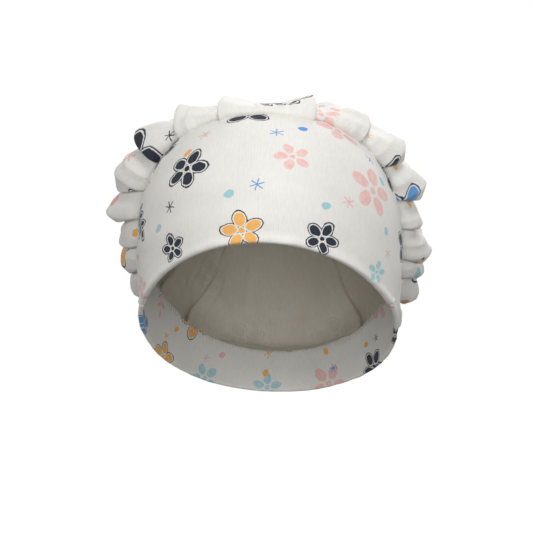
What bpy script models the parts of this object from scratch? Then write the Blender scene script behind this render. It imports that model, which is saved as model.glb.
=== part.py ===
"""Bouffant scrub cap in the form it has when worn, in metres, +Z up, with the front facing -Y.

Three pieces of cloth: a wide doubled front band with a rolled lower fold, a narrow back band, and a
crown bag that is pleated onto the top edge of both. They follow the head space inside the cap, a
rounded form whose widest level holds the origin.
"""

import math
from collections import namedtuple

import bmesh
import bpy
import numpy as np

# Head space inside the cap
HEAD_HALF_WIDTH = 0.077
HEAD_FRONT = 0.095
HEAD_BACK = 0.099
HEAD_TOP = 0.0846
HEAD_BELOW = 0.140
HEAD_SQUARENESS = 2.3

# Cloth walls, and the gap left between two sewn pieces
FRONT_BAND_WALL = 0.0024
BACK_BAND_WALL = 0.0018
CROWN_WALL = 0.0011
SEAM_GAP = 0.0003

# Lower edge of the cap: its height at the forehead and how far it drops to the nape
RIM_HEIGHT = 0.0015
RIM_DROP = 0.094
RIM_BOW = 0.24

# Bands: the front band ends a little below the crown of the head, the back band is a narrow strip
BAND_BELOW_TOP = 0.008
BACK_BAND_HEIGHT = 0.030
CORNER_RADIUS = 0.007
BACK_BAND_STEP = 0.0025

# Side seam between the bands: how far in front of or behind the origin each end of it lies
SIDE_SEAM_RIM_DEPTH = -0.033
SIDE_SEAM_TOP_DEPTH = 0.014

# Soft fold along the lower edge of both bands
ROLL_HEIGHT = 0.006
FRONT_ROLL_WALL = 0.0034
BACK_ROLL_WALL = 0.0026

# Crown bag: the ruffle next to the seam, the puff of the bag, its sag and its pleats
RUFFLE_LIFT = 0.014
BAG_LIFT = 0.028
BAG_SAG = 0.013
PLEAT_TUCK = 0.008
LAYER_GAP = 0.0005
EDGE_LIFT = 0.003
APEX_DIRECTION = (0.0, 0.62, 0.785)

# Mesh resolution; the crowding below 1 puts more of the front band's columns near its side seams
RING_SAMPLES = 361
FRONT_BAND_COLUMNS = 52
COLUMN_CROWDING = 0.9
BACK_BAND_COLUMNS = 40
BAND_ROWS = 7

# Top edge of the bands, by depth from forehead to nape (share of the head's length): how much of the
# way from the narrow strip up to the front band's top edge it has risen
BandRise = namedtuple("BandRise", "depth rise")
BAND_RISE = (
    BandRise(0.00, 1.00),
    BandRise(0.25, 1.00),
    BandRise(0.37, 0.83),
    BandRise(0.48, 0.56),
    BandRise(0.56, 0.34),
    BandRise(0.65, 0.19),
    BandRise(0.75, 0.11),
    BandRise(0.87, 0.04),
    BandRise(1.00, 0.00),
)

# Section of the rolled fold: height (share of ROLL_HEIGHT), inner and outer face (shares of the roll's
# wall); the last row is where the plain wall begins
RollRow = namedtuple("RollRow", "height inner outer")
ROLL = (
    RollRow(0.09, 0.16, 0.84),
    RollRow(0.34, 0.00, 1.00),
    RollRow(0.62, 0.00, 0.95),
)

# Free edges of the knife pleats, from the front centre to the back: place (share of the half seam),
# tuck (share of PLEAT_TUCK) and lift (share of EDGE_LIFT)
Pleat = namedtuple("Pleat", "place tuck lift")
LEFT_PLEATS = (
    Pleat(0.097, 1.0, 1.6),
    Pleat(0.197, 1.0, 0.8),
    Pleat(0.281, 1.0, 1.1),
    Pleat(0.385, 1.1, 1.2),
    Pleat(0.474, 1.0, 1.1),
    Pleat(0.570, 1.1, 0.9),
    Pleat(0.680, 1.0, 1.0),
    Pleat(0.800, 1.0, 0.9),
)
RIGHT_PLEATS = (
    Pleat(0.075, 1.0, 1.9),
    Pleat(0.193, 1.1, 0.9),
    Pleat(0.290, 1.0, 1.0),
    Pleat(0.395, 1.0, 0.9),
    Pleat(0.492, 1.1, 1.1),
    Pleat(0.590, 1.0, 1.0),
    Pleat(0.700, 1.1, 0.9),
    Pleat(0.825, 1.0, 1.0),
)

# Crown, from the seam up to the middle of the bag: way (share of the way over the head), ruffle, bag
# and sag (shares of their lifts), layer (share of the pleats' thickness), edge (share of EDGE_LIFT) and
# open (how far the pleats have opened out)
CrownRow = namedtuple("CrownRow", "way ruffle bag sag layer edge open")
CROWN_ROWS = (
    CrownRow(0.012, 0.04, 0.00, 0.00, 1.00, 0.00, 0.00),
    CrownRow(0.029, 0.07, 0.00, 0.00, 1.00, 0.02, 0.00),
    CrownRow(0.045, 0.15, 0.01, 0.00, 1.00, 0.10, 0.00),
    CrownRow(0.061, 0.30, 0.02, 0.04, 1.00, 0.30, 0.00),
    CrownRow(0.077, 0.50, 0.04, 0.18, 1.00, 0.60, 0.00),
    CrownRow(0.099, 0.75, 0.09, 0.48, 1.00, 0.90, 0.00),
    CrownRow(0.132, 0.96, 0.20, 0.88, 1.00, 1.00, 0.04),
    CrownRow(0.185, 1.00, 0.40, 1.00, 1.00, 0.90, 0.14),
    CrownRow(0.260, 0.85, 0.65, 0.74, 1.00, 0.70, 0.32),
    CrownRow(0.312, 0.72, 0.77, 0.56, 0.95, 0.57, 0.60),
    CrownRow(0.372, 0.56, 0.89, 0.39, 0.88, 0.44, 0.74),
    CrownRow(0.490, 0.32, 1.00, 0.17, 0.65, 0.25, 0.88),
    CrownRow(0.630, 0.13, 0.95, 0.04, 0.36, 0.12, 0.97),
    CrownRow(0.780, 0.03, 0.82, 0.00, 0.14, 0.04, 1.00),
    CrownRow(0.910, 0.00, 0.66, 0.00, 0.00, 0.00, 1.00),
)
CROWN_APEX = CrownRow(1.0, 0.0, 0.58, 0.0, 0.0, 0.0, 1.0)

# Crown, round the seam from the back over the left side to the front and on to the back: place (signed
# share of the half seam), ruffle, bag and sag (shares of their lifts)
CrownPlace = namedtuple("CrownPlace", "place ruffle bag sag")
CROWN_AROUND = (
    CrownPlace(-1.00, 0.85, 1.00, 1.00),
    CrownPlace(-0.82, 0.85, 0.90, 0.90),
    CrownPlace(-0.68, 0.85, 0.45, 0.45),
    CrownPlace(-0.57, 1.25, 0.20, 0.15),
    CrownPlace(-0.47, 1.30, 0.12, 0.05),
    CrownPlace(-0.37, 1.10, 0.12, 0.00),
    CrownPlace(-0.27, 0.72, 0.10, 0.00),
    CrownPlace(-0.18, 0.06, 0.04, 0.00),
    CrownPlace(-0.09, 0.08, 0.00, 0.00),
    CrownPlace(0.00, 0.04, 0.00, 0.00),
    CrownPlace(0.09, 0.08, 0.00, 0.00),
    CrownPlace(0.18, 0.45, 0.06, 0.00),
    CrownPlace(0.28, 0.56, 0.10, 0.00),
    CrownPlace(0.38, 0.60, 0.12, 0.05),
    CrownPlace(0.48, 0.72, 0.15, 0.15),
    CrownPlace(0.58, 1.15, 0.22, 0.20),
    CrownPlace(0.68, 0.90, 0.42, 0.40),
    CrownPlace(0.82, 0.80, 0.85, 0.85),
    CrownPlace(1.00, 0.85, 1.00, 1.00),
)


def follow(table, column, at):
    """Smooth values of a table's column, read at values of its first column."""
    known = np.array([row[0] for row in table])
    value = np.array([getattr(row, column) for row in table])
    slope = np.gradient(value, known)
    index = np.clip(np.searchsorted(known, at) - 1, 0, len(known) - 2)
    step = known[index + 1] - known[index]
    t = np.clip((at - known[index]) / step, 0.0, 1.0)
    start, end = value[index], value[index + 1]
    smooth = t * t * (3 - 2 * t)
    return (
        start + (end - start) * smooth
        + slope[index] * step * t * (1 - t) ** 2
        - slope[index + 1] * step * t * t * (1 - t)
    )


def unit(vectors):
    """Vectors scaled to length one."""
    return vectors / np.linalg.norm(vectors, axis=-1, keepdims=True)


def head_shares(points):
    """Plan share and height share of points, each 1 at the head space's widest or highest."""
    length = np.where(points[..., 1] < 0, HEAD_FRONT, HEAD_BACK)
    height = np.where(points[..., 2] < 0, HEAD_BELOW, HEAD_TOP)
    plan = np.hypot(points[..., 0] / HEAD_HALF_WIDTH, points[..., 1] / length)
    return plan, np.abs(points[..., 2]) / height, length, height


def onto_head(points):
    """Points moved along the line to the origin until they lie on the head space."""
    plan, rise, _, _ = head_shares(points)
    size = (plan ** HEAD_SQUARENESS + rise ** HEAD_SQUARENESS) ** (1 / HEAD_SQUARENESS)
    return points / size[..., None]


def head_normal(points):
    """Outward unit normals of the head space at points on it."""
    plan, rise, length, height = head_shares(points)
    plan_slope = np.maximum(plan, 1e-6) ** (HEAD_SQUARENESS - 2)
    normal = np.empty_like(points)
    normal[..., 0] = plan_slope * points[..., 0] / HEAD_HALF_WIDTH ** 2
    normal[..., 1] = plan_slope * points[..., 1] / length ** 2
    normal[..., 2] = np.sign(points[..., 2]) * rise ** (HEAD_SQUARENESS - 1) / height
    return unit(normal)


def depth_share(depth):
    """Share of the head's length, from forehead to nape."""
    return (depth + HEAD_FRONT) / (HEAD_FRONT + HEAD_BACK)


def rim_height(depth):
    """Height of the cap's lower edge at a depth."""
    share = depth_share(depth)
    return RIM_HEIGHT - RIM_DROP * ((1 + RIM_BOW) * share - RIM_BOW * share ** 2)


def seam_height(depth):
    """Height of the bands' top edge at a depth."""
    low = rim_height(depth) + BACK_BAND_HEIGHT
    rise = follow(BAND_RISE, "rise", depth_share(depth))
    return low + rise * (HEAD_TOP - BAND_BELOW_TOP - low)


def half_ring(height_at):
    """Points on the head space from front to back round +X, at the height that their depth gives."""
    turn = np.linspace(0, math.pi, RING_SAMPLES)
    low = np.full(RING_SAMPLES, math.radians(-80))
    high = np.full(RING_SAMPLES, math.radians(85))
    for _ in range(45):
        middle = (low + high) / 2
        point = onto_head(np.stack([
            np.sin(turn) * np.cos(middle),
            -np.cos(turn) * np.cos(middle),
            np.sin(middle),
        ], axis=-1))
        above = point[:, 2] > height_at(point[:, 1])
        high = np.where(above, middle, high)
        low = np.where(above, low, middle)
    return point


def lengths_along(line):
    """Length from the first point of a line to each of its points."""
    steps = np.linalg.norm(np.diff(line, axis=0), axis=1)
    return np.concatenate(([0.0], np.cumsum(steps)))


def ring_shares(ring):
    """Share of the half ring's length at each of its points."""
    length = lengths_along(ring)
    return length / length[-1]


def along_ring(ring, place):
    """Points at signed shares of the half ring: 0 at the front, 1 and -1 at the back."""
    share = ring_shares(ring)
    size = np.minimum(np.abs(place), 2 - np.abs(place))
    point = np.stack([np.interp(size, share, ring[:, axis]) for axis in range(3)], axis=-1)
    past_back = np.where(np.abs(place) > 1, -1, 1)
    point[..., 0] *= np.sign(place) * past_back
    return point


def place_at(ring, depth):
    """Share of the half ring at which it reaches a depth."""
    return float(np.interp(depth, ring[:, 1], ring_shares(ring)))


def add_object(name, vertices, faces, colour):
    """One named piece of cloth with its own material."""
    mesh = bpy.data.meshes.new(name)
    mesh.from_pydata([tuple(vertex) for vertex in vertices], [], faces)
    mesh.validate()
    material = bpy.data.materials.new(name + "_jersey")
    material.use_nodes = True
    shader = material.node_tree.nodes["Principled BSDF"]
    shader.inputs["Base Color"].default_value = colour
    shader.inputs["Roughness"].default_value = 0.9
    shader.inputs["Metallic"].default_value = 0.0
    mesh.materials.append(material)
    piece = bpy.data.objects.new(name, mesh)
    bpy.context.scene.collection.objects.link(piece)
    return piece


def face_outward(mesh):
    """Turns a closed mesh's faces outward."""
    work = bmesh.new()
    work.from_mesh(mesh)
    bmesh.ops.recalc_face_normals(work, faces=work.faces)
    work.to_mesh(mesh)
    work.free()


def band(name, rim_places, seam_places, start_rise, wall, roll_wall, colour):
    """A strip of cloth between stretches of the rim and the seam, with a rolled fold below.

    Each column runs from a rim place to a seam place, starting start_rise above the rim.
    """
    rim = along_ring(RIM, rim_places)
    seam = along_ring(SEAM, seam_places)
    width = np.linalg.norm(seam - rim, axis=1)
    heights = [np.zeros_like(width)]
    inner = [0.5 * roll_wall]
    outer = [0.5 * roll_wall]
    for row in ROLL:
        heights.append(np.full_like(width, row.height * ROLL_HEIGHT))
        inner.append(row.inner * roll_wall)
        outer.append(row.outer * roll_wall)
    for step in range(BAND_ROWS + 1):
        share = step / BAND_ROWS
        heights.append(ROLL_HEIGHT + share * (width - start_rise - ROLL_HEIGHT))
        inner.append(0.0)
        outer.append(wall)

    rows = len(heights)
    loops = []
    for row in range(rows):
        share = ((start_rise + heights[row]) / width)[:, None]
        face = onto_head(rim * (1 - share) + seam * share)
        normal = head_normal(face)
        loops.append((face + inner[row] * normal, face + outer[row] * normal))

    # A column holds the fold's edge, then the outer face upward, then the inner face downward
    ring = [loops[0][0]] + [pair[1] for pair in loops[1:]] + [pair[0] for pair in loops[:0:-1]]
    columns = len(width)
    size = len(ring)
    vertices = np.stack(ring, axis=1).reshape(-1, 3)
    faces = []
    for column in range(columns - 1):
        for k in range(size):
            here = column * size
            after = here + size
            following = (k + 1) % size
            faces.append((here + k, after + k, after + following, here + following))
    for column in (0, columns - 1):
        first = column * size
        faces.append((first, first + 1, first + size - 1))
        for k in range(1, rows - 1):
            faces.append((first + k, first + k + 1, first + size - k - 1, first + size - k))
    piece = add_object(name, vertices, faces, colour)
    face_outward(piece.data)
    return piece


def front_band():
    """The wide band from one side seam over the forehead to the other."""
    across = np.linspace(-1, 1, FRONT_BAND_COLUMNS + 1)
    across = np.sign(across) * np.abs(across) ** COLUMN_CROWDING
    rim_places = across * SIDE_RIM_PLACE
    seam_places = across * SIDE_TOP_PLACE
    from_corner = (1 - np.abs(across)) * SIDE_RIM_PLACE * lengths_along(RIM)[-1]
    into_corner = np.clip(1 - from_corner / CORNER_RADIUS, 0, 1)
    corner_rise = CORNER_RADIUS * (1 - np.sqrt(1 - into_corner ** 2))
    return band("front_band", rim_places, seam_places, corner_rise,
                FRONT_BAND_WALL, FRONT_ROLL_WALL, (0.80, 0.78, 0.74, 1.0))


def back_band():
    """The narrow band from one side seam round the nape to the other."""
    rim_start = SIDE_RIM_PLACE + SEAM_GAP / lengths_along(RIM)[-1]
    seam_start = SIDE_TOP_PLACE + SEAM_GAP / lengths_along(SEAM)[-1]
    round_back = np.linspace(0, 1, BACK_BAND_COLUMNS + 1)
    rim_places = rim_start + round_back * 2 * (1 - rim_start)
    seam_places = seam_start + round_back * 2 * (1 - seam_start)
    start_rise = np.full_like(round_back, BACK_BAND_STEP)
    return band("back_band", rim_places, seam_places, start_rise,
                BACK_BAND_WALL, BACK_ROLL_WALL, (0.74, 0.71, 0.66, 1.0))


def crown_base(place, row):
    """Points of the crown's sheet without its pleats; row counts CROWN_ROWS and ends at the apex."""
    table = CROWN_ROWS + (CROWN_APEX,)
    counted = np.arange(len(table))

    def along(column):
        return np.interp(row, counted, [getattr(entry, column) for entry in table])

    seam = along_ring(SEAM, place)
    apex = onto_head(np.array(APEX_DIRECTION))
    turned = (place + 1) % 2 - 1
    way = along("way")
    distance = np.linalg.norm(apex - seam, axis=-1)
    sag = BAG_SAG * along("sag") * follow(CROWN_AROUND, "sag", turned)
    share = (way - sag / distance)[..., None]
    face = onto_head(seam * (1 - share) + apex * share)
    around = follow(CROWN_AROUND, "bag", turned)
    bag = BAG_LIFT * along("bag") * (around * (1 - way ** 3) + way ** 3)
    ruffle = RUFFLE_LIFT * along("ruffle") * follow(CROWN_AROUND, "ruffle", turned)
    return face + (ruffle + bag)[..., None] * head_normal(face)


def crown_normal(place, row):
    """Outward unit normals of the crown's unpleated sheet."""
    step = 0.002
    across = crown_base(place + step, row) - crown_base(place - step, row)
    last = len(CROWN_ROWS)
    upward = crown_base(place, np.minimum(row + 0.5, last)) - crown_base(place, np.maximum(row - 0.5, 0))
    return unit(np.cross(across, upward))


def pleat_path(pleats, half_length):
    """The cloth's way round one side as (place, level, lift) points, without the front centre.

    Level 2 is a free edge on top, the levels by 1 the layer folded under it and 0 the layer below.
    """
    path = [(0.5 * (pleats[0].place - PLEAT_TUCK / half_length), 1.2, pleats[0].lift)]
    for index, pleat in enumerate(pleats):
        inner = pleat.place - pleat.tuck * PLEAT_TUCK / half_length
        path.append((inner, 2.0, pleat.lift))
        path.append((pleat.place, 2.0, pleat.lift))
        path.append((pleat.place, 1.15, pleat.lift))
        path.append((inner, 0.85, pleat.lift))
        path.append((inner, 0.0, pleat.lift))
        path.append((pleat.place, 0.0, pleat.lift))
        if index + 1 < len(pleats):
            after = pleats[index + 1]
            end = after.place - after.tuck * PLEAT_TUCK / half_length
            path.append(((pleat.place + end) / 2, 0.9, after.lift))
        else:
            path.append(((pleat.place + 1) / 2, 0.3, pleat.lift))
    return path


def crown_columns():
    """Places, opened-out places, levels and lifts of the crown's columns, from the back over the left."""
    half_length = lengths_along(SEAM)[-1]
    layer = CROWN_WALL + LAYER_GAP
    front = (0.0, 0.9, 0.6)
    back = (1.0, 0.4, 0.6)
    columns = []
    for side, pleats in ((-1, LEFT_PLEATS), (1, RIGHT_PLEATS)):
        path = np.array([front] + pleat_path(pleats, half_length) + [back])
        steps = np.abs(np.diff(path[:, 0])) + layer * np.abs(np.diff(path[:, 1])) / half_length
        cloth = np.concatenate(([0.0], np.cumsum(steps)))
        opened = cloth / cloth[-1]
        half = np.column_stack((side * path[:, 0], side * opened, path[:, 1:]))
        columns.append(half[:0:-1] if side < 0 else half[:-1])
    return np.concatenate(columns)


def cloth_sides(sheet):
    """Outer and inner face of a sheet of rows of points, mitred where its folds turn."""
    across = np.roll(sheet, -1, axis=1) - sheet
    upward = np.gradient(sheet, axis=0)
    upward = unit(upward + np.roll(upward, -1, axis=1))
    after = unit(np.cross(across, upward))
    before = np.roll(after, 1, axis=1)
    turn = (before * after).sum(axis=-1, keepdims=True)
    mitre = (before + after) / np.maximum(1 + turn, 0.5)
    half_wall = 0.5 * CROWN_WALL * mitre
    return sheet + half_wall, sheet - half_wall


def crown():
    """The pleated bag: a sheet from the seam to the middle of the bag, thickened into cloth."""
    columns = crown_columns()
    folded, opened, level, lift = columns.T
    layer = CROWN_WALL + LAYER_GAP
    start = 0.5 * CROWN_WALL
    sheet = []
    for index, row in enumerate(CROWN_ROWS):
        place = folded * (1 - row.open) + opened * row.open
        count = np.full_like(place, index)
        raised = layer * level * row.layer + EDGE_LIFT * lift * 0.5 * level * row.edge
        normal = crown_normal(place, count)
        sheet.append(crown_base(place, count) + (start + raised)[:, None] * normal)
    outer, inner = cloth_sides(np.array(sheet))

    apex = crown_base(np.zeros(1), np.array([float(len(CROWN_ROWS))]))
    apex_normal = head_normal(onto_head(apex))
    tips = (apex + CROWN_WALL * apex_normal, apex)
    rows, count = outer.shape[:2]
    size = rows * count + 1
    vertices = np.concatenate((outer.reshape(-1, 3), tips[0], inner.reshape(-1, 3), tips[1]))
    faces = []
    for row in range(rows - 1):
        low, high = row * count, (row + 1) * count
        for column in range(count):
            after = (column + 1) % count
            # Each four-sided face is split on the diagonal that rises away from the front centre, so
            # that the sloping folds of both sides stay clear of each other
            if column >= count // 2:
                first = (low + column, low + after, high + after)
                second = (low + column, high + after, high + column)
            else:
                first = (low + column, low + after, high + column)
                second = (low + after, high + after, high + column)
            for face in (first, second):
                faces.append(face)
                faces.append(tuple(size + corner for corner in reversed(face)))
    top = (rows - 1) * count
    for column in range(count):
        after = (column + 1) % count
        faces.append((top + column, top + after, size - 1))
        faces.append((size + top + after, size + top + column, 2 * size - 1))
        faces.append((after, column, size + column, size + after))
    return add_object("crown", vertices, faces, (0.78, 0.76, 0.72, 1.0))


for existing in list(bpy.data.objects):
    bpy.data.objects.remove(existing, do_unlink=True)

RIM = half_ring(rim_height)
SEAM = half_ring(seam_height)
SIDE_RIM_PLACE = place_at(RIM, SIDE_SEAM_RIM_DEPTH)
SIDE_TOP_PLACE = place_at(SEAM, SIDE_SEAM_TOP_DEPTH)
front_band()
back_band()
crown()
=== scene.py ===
# %% [markdown]
# # A bouffant scrub cap in printed jersey
#
# A bouffant scrub cap is three pieces of cotton jersey. A wide doubled band lies over the forehead, a
# narrow doubled strip goes on round the nape, and a big round piece is pleated onto the top edge of both,
# which leaves a bag for the hair. The plain solids of the part say where each piece lies. This lesson
# gives every piece its thin cloth, its folds, its knit, its print and its stitches.

# %% Tools and the part
import math
from collections import namedtuple

import bmesh
import bpy
import numpy as np
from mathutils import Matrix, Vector


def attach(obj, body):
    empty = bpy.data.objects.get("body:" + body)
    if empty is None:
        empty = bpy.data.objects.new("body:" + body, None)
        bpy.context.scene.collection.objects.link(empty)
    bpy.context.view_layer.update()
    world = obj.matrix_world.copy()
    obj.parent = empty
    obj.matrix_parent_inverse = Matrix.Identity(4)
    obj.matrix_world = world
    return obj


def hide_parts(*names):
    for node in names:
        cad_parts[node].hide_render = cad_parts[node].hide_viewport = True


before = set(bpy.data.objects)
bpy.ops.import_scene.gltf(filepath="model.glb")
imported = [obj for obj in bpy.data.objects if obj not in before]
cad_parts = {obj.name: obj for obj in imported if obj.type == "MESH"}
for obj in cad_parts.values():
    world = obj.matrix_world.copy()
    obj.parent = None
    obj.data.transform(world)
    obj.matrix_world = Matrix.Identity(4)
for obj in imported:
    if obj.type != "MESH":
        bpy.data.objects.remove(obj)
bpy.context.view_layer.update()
print("Solids:", sorted(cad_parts))

# %% [markdown]
# ## Helpers
#
# Colours are picked as sRGB hex values, as on any screen, and a shader wants them linear. One function
# turns them. A second one adds a node, sets its properties and fills its inputs, so that a node tree
# reads as a list of what it does. Three more make an object, aim it and start a material.

# %% Colours and nodes
MATH = "ShaderNodeMath"
VECTOR_MATH = "ShaderNodeVectorMath"


def linear(code, alpha=1.0):
    """A hex colour such as e8e4db as a linear RGBA tuple, by the standard sRGB curve."""
    shares = [int(code[place:place + 2], 16) / 255 for place in (0, 2, 4)]
    return tuple(s / 12.92 if s <= 0.04045 else ((s + 0.055) / 1.055) ** 2.4 for s in shares) + (alpha,)


def add_node(tree, kind, inputs=(), **settings):
    """Adds a node with its settings; inputs, in order or by name, take a value, a socket or a node."""
    node = tree.nodes.new(kind)
    for name, value in settings.items():
        setattr(node, name, value)
    for name, value in inputs.items() if isinstance(inputs, dict) else enumerate(inputs):
        if isinstance(value, bpy.types.Node):
            value = next(socket for socket in value.outputs if socket.enabled)
        if isinstance(value, bpy.types.NodeSocket):
            tree.links.new(value, node.inputs[name])
        else:
            node.inputs[name].default_value = value
    return node


print("Off-white in linear light:", [round(part, 3) for part in linear("e8e4db")])

# %% Objects and materials


def new_object(name, data):
    """An object at the origin, shown in the scene."""
    thing = bpy.data.objects.new(name, data)
    bpy.context.scene.collection.objects.link(thing)
    return thing


def look_along(thing, direction):
    """Turns a camera or a lamp to look along a direction, with its top up."""
    thing.rotation_mode = "QUATERNION"
    thing.rotation_quaternion = direction.to_track_quat("-Z", "Y")


def new_material(name, settings):
    """A material, and its Principled shader with sockets set by their names."""
    material = bpy.data.materials.new(name)
    material.use_nodes = True
    shader = material.node_tree.nodes["Principled BSDF"]
    for socket, value in settings.items():
        shader.inputs[socket].default_value = value
    return material, shader


print("Materials so far:", len(bpy.data.materials))

# %% [markdown]
# ## Camera
#
# The cap is seen from the front, a little from its left and a little from below, with a long lens that
# hardly bends its outline. The camera looks just past the middle of the cap, so that the cap lands in
# the frame where it should without any lens shift.

# %% Camera
VIEW_AZIMUTH = math.radians(4)
VIEW_ELEVATION = math.radians(-2)
VIEW_DISTANCE = 1.3
LENS_MM = 146.4
SENSOR_MM = 36.0
AIM_RIGHT, AIM_UP = -0.0020, -0.0081

back = Vector((
    math.sin(VIEW_AZIMUTH) * math.cos(VIEW_ELEVATION),
    -math.cos(VIEW_AZIMUTH) * math.cos(VIEW_ELEVATION),
    math.sin(VIEW_ELEVATION),
))
right = Vector((math.cos(VIEW_AZIMUTH), math.sin(VIEW_AZIMUTH), 0.0))
up = right.cross(-back)
camera = new_object("camera", bpy.data.cameras.new("camera"))
camera.data.lens = LENS_MM
camera.data.sensor_width = SENSOR_MM
camera.location = back * VIEW_DISTANCE + right * AIM_RIGHT + up * AIM_UP
look_along(camera, -back)
bpy.context.scene.camera = camera
print("Camera height in mm:", round(1000 * camera.location.z))

# %% [markdown]
# ## Floor and light
#
# The cap keeps the form it has on a head, so it stays at head height over a plain white floor. A white
# surround gives the even light of a bright studio, and large lamps add the shading that shows the folds.
# The main lamp stands high in front, so that every pleat shades the next. Weaker ones on both sides and
# low in front open that shade, and one behind lights the back of the bag.

# %% Floor
FLOOR_HEIGHT = -0.28
FLOOR_RADIUS = 40.0
FLOOR_CORNERS = 96

floor_data = bpy.data.meshes.new("floor")
floor_work = bmesh.new()
bmesh.ops.create_circle(floor_work, cap_ends=True, segments=FLOOR_CORNERS, radius=FLOOR_RADIUS)
bmesh.ops.translate(floor_work, verts=floor_work.verts, vec=(0.0, 0.0, FLOOR_HEIGHT))
floor_work.to_mesh(floor_data)
floor_work.free()
floor = new_object("floor", floor_data)

# White studio vinyl lit from all round: it glows a little, which leaves no grey and hardly a shadow
vinyl, _ = new_material("white_studio_vinyl", {
    "Base Color": linear("f2f1ee"),
    "Roughness": 0.8,
    "Emission Color": linear("ffffff"),
    "Emission Strength": 0.88,
})
floor_data.materials.append(vinyl)
floor.visible_diffuse = False
print("Floor below the cap's middle in mm:", round(-1000 * FLOOR_HEIGHT))

# %% Lamps
Lamp = namedtuple("Lamp", "name place size watts")
LAMPS = (
    Lamp("main_lamp", (0.25, -1.10, 1.60), 0.4, 15.0),
    Lamp("left_lamp", (-1.4, -1.1, 0.35), 0.7, 8.5),
    Lamp("right_lamp", (1.4, -1.1, 0.35), 0.7, 8.5),
    Lamp("low_lamp", (0.1, -1.6, -0.05), 0.8, 9.0),
    Lamp("back_lamp", (0.3, 1.3, 1.3), 1.2, 28.0),
)

for entry in LAMPS:
    lamp = new_object(entry.name, bpy.data.lights.new(entry.name, "AREA"))
    lamp.data.energy = entry.watts
    lamp.data.size = entry.size
    lamp.location = entry.place
    look_along(lamp, -Vector(entry.place))
print("Lamps:", [entry.name for entry in LAMPS])

# %% Surround
# The surround lights the cap less than it shows, as a white wall far behind it does, and more from above
LIGHT_FROM_BELOW = 0.12
LIGHT_FROM_ABOVE = 0.22

surround = bpy.data.worlds.new("white_surround")
bpy.context.scene.world = surround
surround.use_nodes = True
sky = surround.node_tree
sky.nodes.clear()
heading = add_node(sky, "ShaderNodeTexCoord")
heading = add_node(sky, "ShaderNodeSeparateXYZ", [heading.outputs["Generated"]])
strength = add_node(sky, "ShaderNodeMapRange", {
    "Value": heading.outputs["Z"], "From Min": -1.0, "From Max": 1.0,
    "To Min": LIGHT_FROM_BELOW, "To Max": LIGHT_FROM_ABOVE})
cast = add_node(sky, "ShaderNodeBackground", {"Color": linear("fbfaf7"), "Strength": strength})
seen = add_node(sky, "ShaderNodeBackground", {"Color": linear("ffffff"), "Strength": 1.0})
path = add_node(sky, "ShaderNodeLightPath")
both = add_node(sky, "ShaderNodeMixShader", [path.outputs["Is Camera Ray"], cast, seen])
add_node(sky, "ShaderNodeOutputWorld", {"Surface": both})
bpy.context.scene.view_settings.view_transform = "Standard"
print("Nodes in the surround:", len(sky.nodes))

# %% [markdown]
# ## The head space
#
# All three pieces are fitted over a head, so everything here is worked out from the rounded space that
# the cap encloses. It is a blown-up ellipsoid, a little squarer than a true one, longer behind than in
# front. Points are pushed onto it along the line from its middle, and its normals say which way is out.

# %% Head space
HEAD_HALF_WIDTH = 0.077
HEAD_FRONT = 0.095
HEAD_BACK = 0.099
HEAD_TOP = 0.0846
HEAD_BELOW = 0.140
HEAD_SQUARENESS = 2.3


def unit(vectors):
    """Vectors scaled to length one."""
    return vectors / np.linalg.norm(vectors, axis=-1, keepdims=True)


def head_shares(points):
    """Plan and height shares of points, with the lengths and heights they are shares of."""
    length = np.where(points[..., 1] < 0, HEAD_FRONT, HEAD_BACK)
    height = np.where(points[..., 2] < 0, HEAD_BELOW, HEAD_TOP)
    plan = np.hypot(points[..., 0] / HEAD_HALF_WIDTH, points[..., 1] / length)
    return plan, np.abs(points[..., 2]) / height, length, height


def onto_head(points):
    """Points moved along the line to the origin until they lie on the head space."""
    plan, rise, _, _ = head_shares(points)
    size = (plan ** HEAD_SQUARENESS + rise ** HEAD_SQUARENESS) ** (1 / HEAD_SQUARENESS)
    return points / size[..., None]


def head_normal(points):
    """Outward unit normals of the head space at points on it."""
    plan, rise, length, height = head_shares(points)
    plan_slope = np.maximum(plan, 1e-6) ** (HEAD_SQUARENESS - 2)
    normal = np.empty_like(points)
    normal[..., 0] = plan_slope * points[..., 0] / HEAD_HALF_WIDTH ** 2
    normal[..., 1] = plan_slope * points[..., 1] / length ** 2
    normal[..., 2] = np.sign(points[..., 2]) * rise ** (HEAD_SQUARENESS - 1) / height
    return unit(normal)


print("Head round in mm:", round(1000 * math.pi * (HEAD_HALF_WIDTH + (HEAD_FRONT + HEAD_BACK) / 2)))

# %% [markdown]
# ## Rim and seam
#
# Two lines run right round the cap: the rim, which is its lower edge, and the seam, where the bands end
# and the bag begins. The rim drops steadily from the forehead to the nape. The seam starts high over the
# forehead, falls down the sides to the narrow strip, and follows it round the back. A short table gives
# the fall, and a smooth curve is read through it.

# %% Heights of the rim and the seam
RIM_HEIGHT = 0.0015
RIM_DROP = 0.094
RIM_BOW = 0.24
BAND_BELOW_TOP = 0.008
BACK_BAND_HEIGHT = 0.030

BandRise = namedtuple("BandRise", "depth rise")
BAND_RISE = (
    BandRise(0.00, 1.00),
    BandRise(0.25, 1.00),
    BandRise(0.37, 0.83),
    BandRise(0.48, 0.56),
    BandRise(0.56, 0.34),
    BandRise(0.65, 0.19),
    BandRise(0.75, 0.11),
    BandRise(0.87, 0.04),
    BandRise(1.00, 0.00),
)


def smooth_curve(known, value, at):
    """A smooth curve through known values, read at any places between them."""
    slope = np.gradient(value, known, axis=0)
    index = np.clip(np.searchsorted(known, at, side="right") - 1, 0, len(known) - 2)
    step = known[index + 1] - known[index]
    t = np.clip((at - known[index]) / step, 0.0, 1.0)
    start, end = value[index], value[index + 1]
    return (
        start + (end - start) * t * t * (3 - 2 * t)
        + slope[index] * step * t * (1 - t) ** 2
        - slope[index + 1] * step * t * t * (1 - t)
    )


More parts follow.
